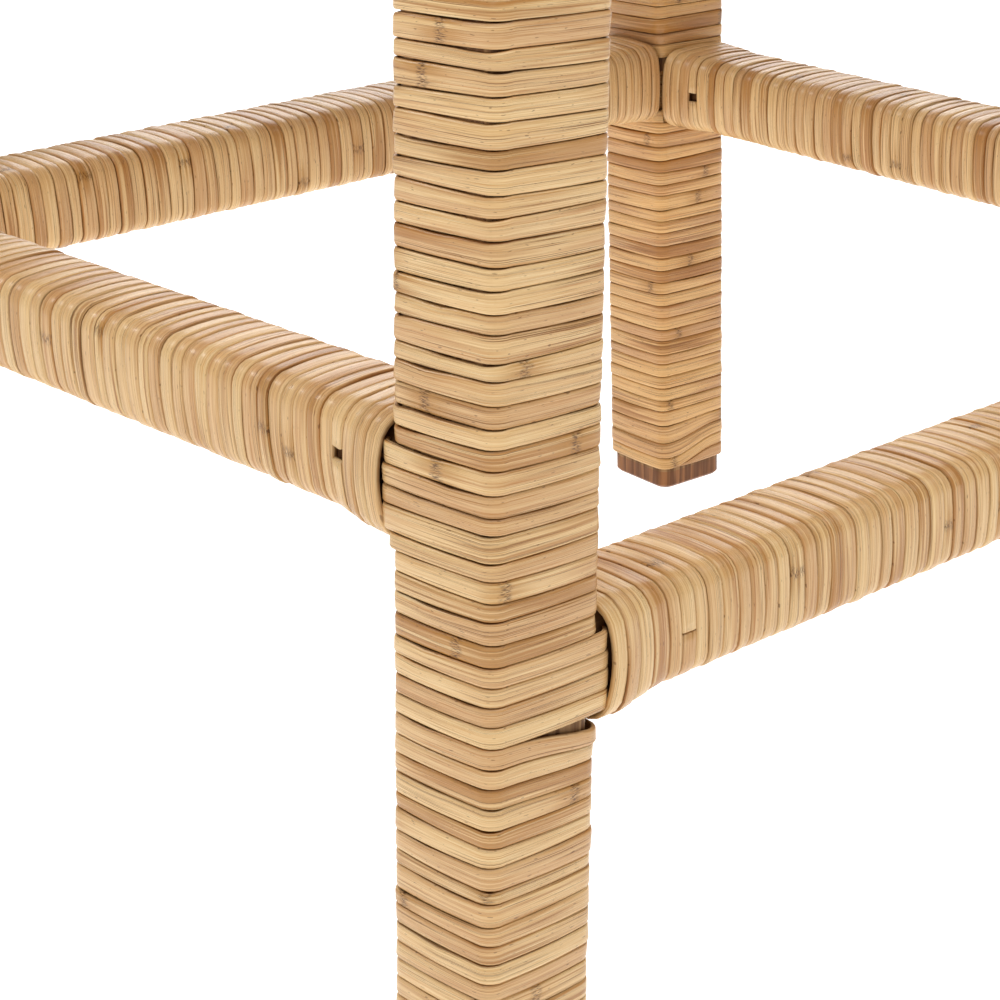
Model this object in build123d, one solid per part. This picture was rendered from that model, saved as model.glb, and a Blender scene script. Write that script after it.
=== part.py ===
from build123d import *
import os
from math import atan2, cos, degrees, sin, radians

# Counter-height bar stool: hardwood frame bound all over with rattan peel, woven seat, four foot rails.
# Millimetres: +Z up, front of the stool faces -Y, origin on the floor under the centre of the frame.

# ---- driving dimensions -------------------------------------------------------------------------
SEAT_HEIGHT = 650.0        # top of the leg caps
LEG_SIZE = 45.0            # bound leg, face to face
PEEL = 1.8                 # thickness of the rattan peel binding
EDGE_RADIUS = 7.0          # rounded arris of every hardwood member
SPLAY = 0.03               # sideways lean of each leg, mm per mm of height
SPLAY_HEIGHT = 300.0       # height at which the two half widths below are measured
FRONT_HALF = 205.0         # stool centre to front leg axis
REAR_HALF = 223.3          # stool centre to rear leg axis
HALF_DEPTH = 185.8         # stool centre to the front and rear leg axes, fore and aft

RAIL_WIDTH = 38.6          # every bound rail, seen from above
STRETCHER_HEIGHT = 35.0
FRONT_RAIL_Z = 163.0       # centre height of the low front footrest
LEFT_RAIL_Z = 220.0        # the side rails were set by hand, one a little higher than the other
RIGHT_RAIL_Z = 211.5
REAR_RAIL_Z = 214.5

SEAT_RAIL_HEIGHT = 50.0

FOOT_HEIGHT = 9.0
FOOT_CHAMFER = 1.5
FOOT_PIN_RADIUS = 5.0
FOOT_PIN_LENGTH = 16.0
BINDING_START = 11.0       # the binding stops this far above the floor

CAP_THICKNESS = 2.5        # peel laid over the end of each leg
TENON_LENGTH = 14.0
TENON_THICKNESS = 12.0
STRETCHER_TENON_HEIGHT = 22.0
SEAT_TENON_HEIGHT = 32.0
TENON_RADIUS = 1.5

BOARD_THICKNESS = 9.0
WEAVE_THICKNESS = 4.5
TRIM_WIDTH = 8.0
TRIM_THICKNESS = 2.2
SEAT_DROP = 4.0            # seat rails sit this far under the leg tops
CLEAR = 0.2                # gap between parts that are only pushed together

BLOCK_REACH = 95.0         # corner block, measured along each rail from the leg axis
BLOCK_THICKNESS = 22.0

SCREW_RADIUS = 2.0
SCREW_HEAD_RADIUS = 4.0
SCREW_HEAD_HEIGHT = 2.6
JOINT_SCREW_LENGTH = 38.0
JOINT_SCREW_OFFSET = 6.0   # crossing screws in one leg pass above and below each other
RAIL_SCREW_LENGTH = 30.0
BOARD_SCREW_LENGTH = 26.0
LAG_RADIUS = 3.0
LAG_HEAD_RADIUS = 5.5
LAG_HEAD_HEIGHT = 4.0
LAG_LENGTH = 54.0
BRAD_RADIUS = 0.6
BRAD_HEAD_RADIUS = 1.3
BRAD_HEAD_HEIGHT = 0.6
BRAD_LENGTH = 11.0
BRADS_PER_SIDE = 7

# ---- derived places -----------------------------------------------------------------------------
LEG_CORE = LEG_SIZE - 2 * PEEL
LEG_TOP = SEAT_HEIGHT - CAP_THICKNESS
SIDE_ANGLE = degrees(atan2(REAR_HALF - FRONT_HALF, 2 * HALF_DEPTH))
SEAT_RAIL_Z = SEAT_HEIGHT - SEAT_DROP - SEAT_RAIL_HEIGHT / 2
SEAT_RAIL_TOP = SEAT_HEIGHT - SEAT_DROP
BOARD_TOP = SEAT_RAIL_TOP - WEAVE_THICKNESS - 0.5
BOARD_BOTTOM = BOARD_TOP - BOARD_THICKNESS
BLOCK_BOTTOM = BOARD_BOTTOM - BLOCK_THICKNESS
BLOCK_MIDDLE = (BLOCK_BOTTOM + BOARD_BOTTOM) / 2

LEFT, RIGHT, FRONT, REAR = -1, 1, -1, 1
LEGS = {
    "front_left": (LEFT, FRONT),
    "front_right": (RIGHT, FRONT),
    "rear_left": (LEFT, REAR),
    "rear_right": (RIGHT, REAR),
}
# Each side of the frame: the legs it joins, and the height of its foot rail.
SIDES = {
    "front": ("front_left", "front_right", FRONT_RAIL_Z),
    "rear": ("rear_left", "rear_right", REAR_RAIL_Z),
    "left": ("front_left", "rear_left", LEFT_RAIL_Z),
    "right": ("front_right", "rear_right", RIGHT_RAIL_Z),
}


# ---- shapes -------------------------------------------------------------------------------------
def leg_axis(leg, z):
    """Point on a leg's centre line at height z."""
    side, end = LEGS[leg]
    half = FRONT_HALF if end == FRONT else REAR_HALF
    return Vector(side * (half + (SPLAY_HEIGHT - z) * SPLAY), end * HALF_DEPTH, z)


def leg_prism(leg, size, radius, low, high):
    """Leaning square bar round a leg's centre line, turned to face along the side rails."""
    turn = radians(-LEGS[leg][0] * SIDE_ANGLE)
    start, stop = leg_axis(leg, low), leg_axis(leg, high)
    plane = Plane(origin=start, x_dir=(cos(turn), sin(turn), 0), z_dir=(0, 0, 1))
    rise = stop - start
    return extrude(plane * RectangleRounded(size, size, radius), amount=rise.length, dir=rise.normalized())


def bar(start, stop, width, height, radius):
    """Level bar with rounded arrises between two points at one height."""
    run = stop - start
    across = Vector(0, 0, 1).cross(run).normalized()
    plane = Plane(origin=start, x_dir=across, z_dir=run.normalized())
    return extrude(plane * RectangleRounded(width, height, radius), amount=run.length)


def side_bar(side, z, width, height, radius, short=0.0):
    """Bar along one side of the frame, from leg axis to leg axis, shortened at both ends."""
    first, second, _ = SIDES[side]
    start, stop = leg_axis(first, z), leg_axis(second, z)
    step = (stop - start).normalized() * short
    return bar(start + step, stop - step, width, height, radius)


def sides_of(leg):
    return [side for side, (first, second, _) in SIDES.items() if leg in (first, second)]


def tenon_bar(side, z, height):
    """Bar that makes both tenons of a rail, and the mortises they fill."""
    return side_bar(side, z, TENON_THICKNESS, height, TENON_RADIUS, LEG_CORE / 2 - TENON_LENGTH)


def stretcher_bar(side, peel=0.0):
    size = 2 * (PEEL - peel)
    return side_bar(side, SIDES[side][2], RAIL_WIDTH - size, STRETCHER_HEIGHT - size, EDGE_RADIUS + peel)


def seat_bar(side, peel=0.0, grow=0.0):
    size = 2 * (PEEL - peel) - grow
    return side_bar(side, SEAT_RAIL_Z, RAIL_WIDTH - size, SEAT_RAIL_HEIGHT - size, EDGE_RADIUS + peel)


def leg_outside(leg, gap=0.0):
    return leg_prism(leg, LEG_SIZE + 2 * gap, EDGE_RADIUS + PEEL + gap, 0, SEAT_HEIGHT + 10)


def cylinder_along(start, direction, radius, length):
    return extrude(Plane(origin=start, z_dir=direction) * Circle(radius), amount=length)


def wood_screw(start, direction, length):
    """Countersunk screw with its head's face at start, driven along direction."""
    neck = start + direction.normalized() * SCREW_HEAD_HEIGHT
    head_face = Plane(origin=start, z_dir=direction) * Circle(SCREW_HEAD_RADIUS)
    head = loft([head_face, Plane(origin=neck, z_dir=direction) * Circle(SCREW_RADIUS)])
    return head + cylinder_along(start, direction, SCREW_RADIUS, length)


def lag_screw(start, direction):
    """Hexagon-headed screw: the head stands out behind start."""
    back = Plane(origin=start - direction.normalized() * LAG_HEAD_HEIGHT, z_dir=direction)
    head = extrude(back * RegularPolygon(LAG_HEAD_RADIUS, 6), amount=LAG_HEAD_HEIGHT)
    return head + cylinder_along(start, direction, LAG_RADIUS, LAG_LENGTH)


def brad(point):
    head = cylinder_along(point, Vector(0, 0, -1), BRAD_HEAD_RADIUS, BRAD_HEAD_HEIGHT)
    return head + cylinder_along(point, Vector(0, 0, -1), BRAD_RADIUS, BRAD_LENGTH)


def plan_prism(points, low, high):
    """Upright prism over a plan outline."""
    outline = Polyline(*[(p.X, p.Y, low) for p in points], close=True)
    return extrude(make_face(outline), amount=high - low, dir=(0, 0, 1))


def toward(a, b):
    """Level unit vector from point a to point b."""
    return Vector(b.X - a.X, b.Y - a.Y, 0).normalized()


# ---- legs ---------------------------------------------------------------------------------------
def leg_core(leg):
    core = leg_prism(leg, LEG_CORE, EDGE_RADIUS, FOOT_HEIGHT, LEG_TOP)
    for side in sides_of(leg):
        core -= tenon_bar(side, SIDES[side][2], STRETCHER_TENON_HEIGHT)
        core -= tenon_bar(side, SEAT_RAIL_Z, SEAT_TENON_HEIGHT)
    return core - foot_pin(leg)


def leg_binding(leg):
    """Sleeve of wound peel, open where the foot rails and seat rails enter the leg."""
    sleeve = leg_prism(leg, LEG_SIZE, EDGE_RADIUS + PEEL, BINDING_START, LEG_TOP)
    sleeve -= leg_prism(leg, LEG_CORE, EDGE_RADIUS, 0, SEAT_HEIGHT)
    for side in sides_of(leg):
        sleeve -= stretcher_bar(side)
        sleeve -= seat_bar(side)
    return sleeve


def leg_cap(leg):
    return leg_prism(leg, LEG_SIZE, EDGE_RADIUS + PEEL, LEG_TOP, SEAT_HEIGHT)


def foot_pin(leg):
    return cylinder_along(leg_axis(leg, FOOT_HEIGHT), Vector(0, 0, 1), FOOT_PIN_RADIUS, FOOT_PIN_LENGTH)


def foot(leg):
    """Dark hardwood foot, with a pin that is glued up into the leg."""
    pad = leg_prism(leg, LEG_CORE, EDGE_RADIUS, 0, FOOT_HEIGHT)
    pad = chamfer(pad.faces().sort_by(Axis.Z)[0].edges(), FOOT_CHAMFER)
    return pad + foot_pin(leg)


# ---- rails --------------------------------------------------------------------------------------
def without_legs(shape, side, gap):
    for leg in SIDES[side][:2]:
        shape -= leg_outside(leg, gap)
    return shape


def rail_core(side, body, z, tenon_height):
    """Rail that shoulders against the leg cores, with a tenon at each end."""
    for leg in SIDES[side][:2]:
        body -= leg_prism(leg, LEG_CORE, EDGE_RADIUS, 0, SEAT_HEIGHT + 10)
    return body + tenon_bar(side, z, tenon_height)


def stretcher_core(side):
    return rail_core(side, stretcher_bar(side), SIDES[side][2], STRETCHER_TENON_HEIGHT)


def stretcher_binding(side):
    return without_legs(stretcher_bar(side, PEEL) - stretcher_bar(side), side, CLEAR)


def seat_rail_core(side):
    return rail_core(side, seat_bar(side), SEAT_RAIL_Z, SEAT_TENON_HEIGHT)


def seat_rail_binding(side):
    return without_legs(seat_bar(side, PEEL) - seat_bar(side), side, CLEAR)


# ---- seat ---------------------------------------------------------------------------------------
def seat_corners(z):
    return [leg_axis(leg, z) for leg in ("front_left", "front_right", "rear_right", "rear_left")]


def inside_frame(low, high, gap):
    """Everything between the seat rails and the legs, in plan, over a band of height."""
    shape = plan_prism(seat_corners(SEAT_RAIL_Z), low, high)
    for side in SIDES:
        # A tall square-edged bar, so that the plan outline stays the same at any height.
        shape -= side_bar(side, SEAT_RAIL_Z, RAIL_WIDTH + 2 * gap, 3 * SEAT_RAIL_HEIGHT, EDGE_RADIUS)
    for leg in LEGS:
        shape -= leg_outside(leg, gap)
    return shape


def seat_board():
    return inside_frame(BOARD_BOTTOM, BOARD_TOP, 2 * CLEAR)


def woven_seat():
    return inside_frame(BOARD_TOP, BOARD_TOP + WEAVE_THICKNESS, CLEAR)


def seat_trim():
    """Four mitred lengths of flat peel that cover the cut edge of the weave."""
    low = BOARD_TOP + WEAVE_THICKNESS
    high = low + TRIM_THICKNESS
    ring = inside_frame(low, high, CLEAR) - inside_frame(low - 1, high + 1, CLEAR + TRIM_WIDTH)
    corners = dict(zip(("front_left", "front_right", "rear_right", "rear_left"), seat_corners(low)))
    pieces = {}
    for side, (first, second, _) in SIDES.items():
        sector = plan_prism([Vector(0, 0, low), corners[first], corners[second]], low - 1, high + 1)
        pieces[side] = ring & sector
    return pieces


def brads():
    """Pins along the middle of the trim."""
    top = BOARD_TOP + WEAVE_THICKNESS + TRIM_THICKNESS
    inset = RAIL_WIDTH / 2 + CLEAR + TRIM_WIDTH / 2
    pins = []
    for first, second, _ in SIDES.values():
        start, stop = leg_axis(first, SEAT_RAIL_Z), leg_axis(second, SEAT_RAIL_Z)
        along = toward(start, stop)
        inward = Vector(-along.Y, along.X, 0)
        if inward.dot(Vector(0, 0, 0) - Vector(start.X, start.Y, 0)) < 0:
            inward = -inward
        for n in range(BRADS_PER_SIDE):
            share = (n + 0.75) / (BRADS_PER_SIDE + 0.5)
            spot = start + (stop - start) * share + inward * inset
            pins.append(brad(Vector(spot.X, spot.Y, top)))
    return pins


# ---- corner blocks ------------------------------------------------------------------------------
def corner_frame(leg):
    """Leg axis, and the level directions in which its two seat rails leave it."""
    here = leg_axis(leg, SEAT_RAIL_Z)
    others = [b if a == leg else a for a, b, _ in SIDES.values() if leg in (a, b)]
    return here, [toward(here, leg_axis(other, SEAT_RAIL_Z)) for other in others]


def rail_screw_places(leg):
    """Start and direction of the two screws that hold a corner block to its rails."""
    here, (one, two) = corner_frame(leg)
    places = []
    for along, inward in ((one, two), (two, one)):
        start = here + along * (BLOCK_REACH * 0.55) + inward * (BLOCK_REACH * 0.38)
        into = along.cross(Vector(0, 0, 1)).normalized()
        into = into if into.dot(inward) < 0 else -into
        places.append((Vector(start.X, start.Y, BLOCK_MIDDLE), into))
    return places


def corner_block(leg):
    """Triangular block between two seat rails, drilled so that its screw heads sit in deep holes."""
    here, (one, two) = corner_frame(leg)
    outline = [here, here + one * BLOCK_REACH, here + two * BLOCK_REACH]
    block = plan_prism(outline, BLOCK_BOTTOM, BOARD_BOTTOM)
    for side in sides_of(leg):
        block -= seat_bar(side, PEEL, 2 * CLEAR)
    block -= leg_outside(leg, CLEAR)
    block = max(block.solids(), key=lambda s: s.volume)
    for start, into in rail_screw_places(leg):
        block -= cylinder_along(start, -into, SCREW_HEAD_RADIUS, BLOCK_REACH)
    return block


def board_screw(leg):
    """Upright screw that holds the seat board down on its corner block."""
    here, (one, two) = corner_frame(leg)
    spot = here + one * (BLOCK_REACH * 0.44) + two * (BLOCK_REACH * 0.27)
    return wood_screw(Vector(spot.X, spot.Y, BLOCK_BOTTOM), Vector(0, 0, 1), BOARD_SCREW_LENGTH)


def leg_lag_screw(leg):
    """Lag screw from the middle of the block's long face into the corner of the leg."""
    here, (one, two) = corner_frame(leg)
    middle = here + (one + two) * (BLOCK_REACH / 2)
    return lag_screw(Vector(middle.X, middle.Y, BLOCK_MIDDLE), toward(middle, here))


def joint_screw(leg, side, z):
    """Screw from the far face of a leg, under its binding, into the tenon of one rail."""
    first, second, _ = SIDES[side]
    other = second if leg == first else first
    here = leg_axis(leg, z)
    along = toward(here, leg_axis(other, z))
    lift = JOINT_SCREW_OFFSET if side in ("left", "right") else -JOINT_SCREW_OFFSET
    start = here - along * (LEG_CORE / 2 - 0.3) + Vector(0, 0, lift)
    return wood_screw(start, along, JOINT_SCREW_LENGTH)


# ---- assembly -----------------------------------------------------------------------------------
def build():
    parts = {}
    for leg in LEGS:
        parts[f"{leg}_leg"] = leg_core(leg)
        parts[f"{leg}_leg_binding"] = leg_binding(leg)
        parts[f"{leg}_leg_cap"] = leg_cap(leg)
        parts[f"{leg}_foot"] = foot(leg)
        parts[f"{leg}_corner_block"] = corner_block(leg)
    for side in SIDES:
        parts[f"{side}_stretcher"] = stretcher_core(side)
        parts[f"{side}_stretcher_binding"] = stretcher_binding(side)
        parts[f"{side}_seat_rail"] = seat_rail_core(side)
        parts[f"{side}_seat_rail_binding"] = seat_rail_binding(side)
    for side, piece in seat_trim().items():
        parts[f"{side}_seat_trim"] = piece
    parts["seat_board"] = seat_board()
    parts["woven_seat"] = woven_seat()

    ends = [(leg, side) for leg in LEGS for side in sides_of(leg)]
    places = [place for leg in LEGS for place in rail_screw_places(leg)]
    fasteners = {
        "stretcher_screws": [joint_screw(leg, side, SIDES[side][2]) for leg, side in ends],
        "seat_rail_screws": [joint_screw(leg, side, SEAT_RAIL_Z) for leg, side in ends],
        "corner_block_screws": [wood_screw(start, into, RAIL_SCREW_LENGTH) for start, into in places],
        "board_screws": [board_screw(leg) for leg in LEGS],
        "leg_lag_screws": [leg_lag_screw(leg) for leg in LEGS],
        "trim_brads": brads(),
    }
    bore_holes(parts, fasteners)
    for name, group in fasteners.items():
        parts[name] = Compound(children=group)
    return parts


def bore_holes(parts, fasteners):
    """Cuts each fastener's own shape out of every piece it passes through."""
    for name, piece in parts.items():
        box = piece.bounding_box()
        for group in fasteners.values():
            for fastener in group:
                own = fastener.bounding_box()
                apart = any(
                    getattr(own.min, k) > getattr(box.max, k) or getattr(own.max, k) < getattr(box.min, k)
                    for k in "XYZ"
                )
                if not apart:
                    parts[name] = parts[name] - fastener


os.makedirs("parts", exist_ok=True)
for node, shape in build().items():
    export_step(shape, f"parts/{node}.step")
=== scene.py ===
from math import cos, pi, sin

import bpy
from mathutils import Matrix, Vector


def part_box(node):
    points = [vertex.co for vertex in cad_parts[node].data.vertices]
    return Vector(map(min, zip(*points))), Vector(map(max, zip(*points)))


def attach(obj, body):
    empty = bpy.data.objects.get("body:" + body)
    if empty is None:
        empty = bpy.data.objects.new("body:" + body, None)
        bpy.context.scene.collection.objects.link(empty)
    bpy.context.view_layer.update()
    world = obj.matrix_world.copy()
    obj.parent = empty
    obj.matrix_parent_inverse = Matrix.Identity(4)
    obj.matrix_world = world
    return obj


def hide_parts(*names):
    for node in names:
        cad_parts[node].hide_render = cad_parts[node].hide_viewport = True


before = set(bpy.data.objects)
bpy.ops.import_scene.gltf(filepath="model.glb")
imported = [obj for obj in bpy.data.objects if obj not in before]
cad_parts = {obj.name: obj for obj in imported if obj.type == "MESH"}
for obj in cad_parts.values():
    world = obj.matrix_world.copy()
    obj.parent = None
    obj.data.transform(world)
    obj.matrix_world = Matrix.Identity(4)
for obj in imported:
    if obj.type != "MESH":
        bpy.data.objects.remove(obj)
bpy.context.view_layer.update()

# ---- sizes, in metres ---------------------------------------------------------------------------
PEEL = 0.0018              # how far the wound peel stands off the hardwood of a rail
LEG_PEEL = 0.0014          # and of a leg, where it is pulled tighter
SLIM = 0.0004              # how much tighter still a leg's winding is above the foot rails
SLIM_HEIGHTS = (0.12, 0.34)
LEG_EDGE = 0.0046          # arris of a leg, round which the peel is pulled
RAIL_EDGE = 0.0060         # and of a rail
LEG_HALF = 0.0207          # half of a bare leg
RAIL_HALF = 0.0175         # half the width of a bare rail
STRETCHER_HALF_DEPTH = 0.0157
SEAT_RAIL_HALF_DEPTH = 0.0232
LEG_FOOT = 0.011           # the binding starts this far above the floor
LEG_TOP = 0.6475

STRIP = 0.0063             # usual width of one turn of peel
RAIL_STRIP = STRIP * 0.95  # and on a rail, where the turns are packed closer
STEPS_PER_TURN = 44        # places along the strip in one turn: 6 on each flat and 5 round each arris
FLAT_SHARE = 6 / 11
RIM = 10                   # points round the strip's own section
FALL = 0.50                # how far, in pitches, a leg's turns drop below the plain spiral across the front
JOG = (0.75, 0.92)         # part of a turn in which an end ring steps over to the next: the fourth side
END_RINGS = 5.0            # turns over which the end rings ease into a plain spiral
BOW_REACH = 0.018          # how far along the bar an end ring's shape is still felt
BOW = 0.0024               # how far a rail's end ring is pushed back by the leg's swollen turns
RING_STANDOFF = 0.0003     # room between a rail's end ring and the leg's flat
CROWN = 0.0006             # how far a turn bows off the middle of each flat
LIFT = 0.0007              # how unevenly the turns lie: outwards
TILT = 0.0008              # and tipped to one side
SLACK = 0.0009             # width of the gap beside a loose turn
GAPING_SLACK = 0.0012      # and how much wider it is on a gaping side
GAPING_GAP = 0.00022       # how much wider every gap is on a gaping side
ROLL = 0.0007              # how far the turn under an opening is rolled up
COLLAR = 0.0034            # build-up of a rail's binding beside the leg
REAR_COLLAR = COLLAR - 0.0010
COLLAR_REACH = (0.030, 0.005)
SWELL = 0.0052             # how far a leg's turns stand out where a foot rail comes in
SWELL_REACH = 0.0142       # half the height of the swollen part, which sits a little below the rail's middle
SWELL_DROP = 0.0035
TUCK = 0.0105              # how deep a leg's turns go where two foot rails meet at one corner
TUCK_REACH = 0.0170        # half the height of that part

LEGS = {"front_left": (-1, -1), "front_right": (1, -1), "rear_left": (-1, 1), "rear_right": (1, 1)}
SIDES = {
    "front": ("front_left", "front_right"),
    "rear": ("rear_left", "rear_right"),
    "left": ("front_left", "rear_left"),
    "right": ("front_right", "rear_right"),
}


# ---- node trees ---------------------------------------------------------------------------------
class Wire:
    """A value in a node tree. Arithmetic on it adds Math nodes."""

    def __init__(self, bench, socket):
        self.bench, self.socket = bench, socket

    def __add__(self, other):
        return self.bench.math("ADD", self, other)

    def __radd__(self, other):
        return self.bench.math("ADD", other, self)

    def __sub__(self, other):
        return self.bench.math("SUBTRACT", self, other)

    def __rsub__(self, other):
        return self.bench.math("SUBTRACT", other, self)

    def __mul__(self, other):
        return self.bench.math("MULTIPLY", self, other)

    def __rmul__(self, other):
        return self.bench.math("MULTIPLY", other, self)

    def __truediv__(self, other):
        return self.bench.math("DIVIDE", self, other)

    def __pow__(self, other):
        return self.bench.math("POWER", self, other)


class Bench:
    """Adds nodes to one tree and joins them up."""

    def __init__(self, tree):
        self.tree = tree
        self.inputs = {}

    def feed(self, socket, value):
        if isinstance(value, Wire):
            self.tree.links.new(value.socket, socket)
        else:
            socket.default_value = value

    def node(self, kind, inputs=(), output=0, **settings):
        """Adds a node, sets it up, feeds its inputs by name or number, and returns one output."""
        node = self.tree.nodes.new(kind)
        for name, value in settings.items():
            setattr(node, name, value)
        for key, value in dict(inputs).items():
            self.feed(node.inputs[key], value)
        return Wire(self, node.outputs[output])

    def math(self, operation, *values):
        return self.node("ShaderNodeMath", enumerate(values), operation=operation)

    def vector(self, x, y, z):
        return self.node("ShaderNodeCombineXYZ", {0: x, 1: y, 2: z})

    def split(self, vector):
        node = self.tree.nodes.new("ShaderNodeSeparateXYZ")
        self.feed(node.inputs[0], vector)
        return [Wire(self, output) for output in node.outputs]

    def along(self, vector, amount):
        return self.node("ShaderNodeVectorMath", {0: vector, 3: amount}, operation="SCALE")

    def total(self, *vectors):
        result = vectors[0]
        for vector in vectors[1:]:
            result = self.node("ShaderNodeVectorMath", {0: result, 1: vector}, operation="ADD")
        return result

    def ramp(self, value, low, high, out_low=0.0, out_high=1.0, smooth=True):
        """value between low and high, eased to between out_low and out_high."""
        kind = "SMOOTHSTEP" if smooth else "LINEAR"
        places = {0: value, 1: low, 2: high, 3: out_low, 4: out_high}
        return self.node("ShaderNodeMapRange", places, interpolation_type=kind)

    def noise(self, place, scale=1.0, detail=0.0, rough=0.5):
        """1D noise for a number, 3D for a vector, from about 0.3 to 0.7."""
        flat = place.socket.type in ("VALUE", "INT")
        inputs = {"W" if flat else "Vector": place, "Scale": scale, "Detail": detail, "Roughness": rough}
        return self.node("ShaderNodeTexNoise", inputs, noise_dimensions="1D" if flat else "3D")

    def mix(self, share, first, second, blend="MIX"):
        node = self.tree.nodes.new("ShaderNodeMix")
        node.data_type, node.blend_type = "RGBA", blend
        for index, value in ((0, share), (6, first), (7, second)):
            self.feed(node.inputs[index], value)
        return Wire(self, node.outputs[2])


KINDS = {
    float: "NodeSocketFloat",
    int: "NodeSocketInt",
    Vector: "NodeSocketVector",
    tuple: "NodeSocketColor",
}


def new_tree(name, kind, inputs, outputs):
    """A node group with named inputs. A default's type says what the socket holds."""
    tree = bpy.data.node_groups.new(name, kind)
    for label, default in inputs.items():
        if default is bpy.types.Material:
            tree.interface.new_socket(label, in_out="INPUT", socket_type="NodeSocketMaterial")
            continue
        socket = tree.interface.new_socket(label, in_out="INPUT", socket_type=KINDS[type(default)])
        socket.default_value = default
    for label, socket_type in outputs.items():
        tree.interface.new_socket(label, in_out="OUTPUT", socket_type=socket_type)
    bench = Bench(tree)
    entry = tree.nodes.new("NodeGroupInput")
    bench.inputs = {label: Wire(bench, entry.outputs[label]) for label in inputs}
    bench.exit = tree.nodes.new("NodeGroupOutput")
    return bench


# ---- geometry: strips of peel -------------------------------------------------------------------
def strip_section(bench, rim, dome):
    """Closed section of a peel strip: place across, -1 to 1, and height, 0 to 1. A small dome is flat."""
    around = rim * (2 * pi / RIM)
    swing = bench.math("COSINE", around)
    rise = bench.math("SINE", around)
    across = bench.math("SIGN", swing) * bench.math("ABSOLUTE", swing) ** 0.36
    top = bench.math("MAXIMUM", rise, 0.0) ** dome
    under = bench.math("MINIMUM", rise, 0.0) * 0.06
    return across, top + under


def finish_strips(bench, mesh, place, along, across):
    """Moves the grid's points to their places, closes its seam, and adds the strip's own UV map."""
    moved = bench.node("GeometryNodeSetPosition", {"Geometry": mesh, "Position": place})
    on_points = bench.node(
        "GeometryNodeFieldOnDomain",
        {0: bench.vector(along, across, 0.0)},
        data_type="FLOAT_VECTOR",
        domain="POINT",
    )
    stored = bench.node(
        "GeometryNodeStoreNamedAttribute",
        {"Geometry": moved, "Name": "Strip", "Value": on_points},
        data_type="FLOAT2",
        domain="CORNER",
    )
    closed = bench.node("GeometryNodeMergeByDistance", {"Geometry": stored, "Distance": 0.000002})
    smooth = bench.node("GeometryNodeSetShadeSmooth", {"Geometry": closed})
    real = bench.node("GeometryNodeRealizeInstances", {"Geometry": smooth})
    dressed = bench.node("GeometryNodeSetMaterial", {"Geometry": real, "Material": bench.inputs["Material"]})
    bench.feed(bench.exit.inputs[0], dressed)


def grid_places(bench, mesh_along):
    """A grid of points, with each point's number along the strip and round its section."""
    mesh = bench.node(
        "GeometryNodeMeshGrid",
        {"Size X": 1.0, "Size Y": 1.0, "Vertices X": mesh_along, "Vertices Y": RIM + 1},
    )
    index = bench.node("GeometryNodeInputIndex")
    step = bench.math("FLOOR", (index + 0.5) / (RIM + 1.0))
    return mesh, step, index - step * (RIM + 1.0)


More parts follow.
